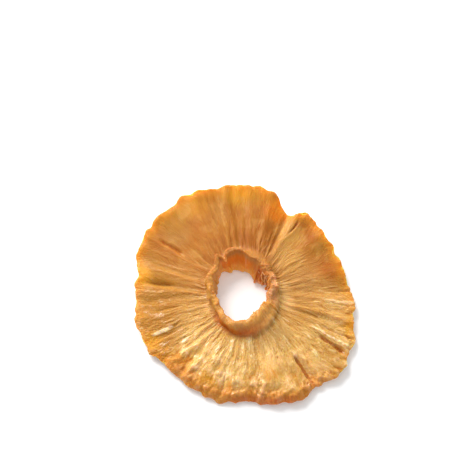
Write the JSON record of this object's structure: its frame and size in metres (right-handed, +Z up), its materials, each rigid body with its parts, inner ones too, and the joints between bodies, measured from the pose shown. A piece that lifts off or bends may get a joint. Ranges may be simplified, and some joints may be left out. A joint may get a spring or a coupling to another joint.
{
  "type": "dried pineapple ring",
  "caption": "Dried slice of pineapple with a raised fibrous collar round its hole and thin pleated flesh, lying flat with its back edge curled up.",
  "frame": {"origin": "on the surface the ring lies on, under the middle of its outline", "axes": "+Z up from the surface it lies on, +Y towards the curled-up back edge, +X to the right as seen in the picture"},
  "size_m": [0.084, 0.089, 0.0121],
  "materials": {
    "dried_flesh": null
  },
  "bodies": {
    "root": {"pineapple_ring": "dried_flesh"}
  },
  "joints": []
}
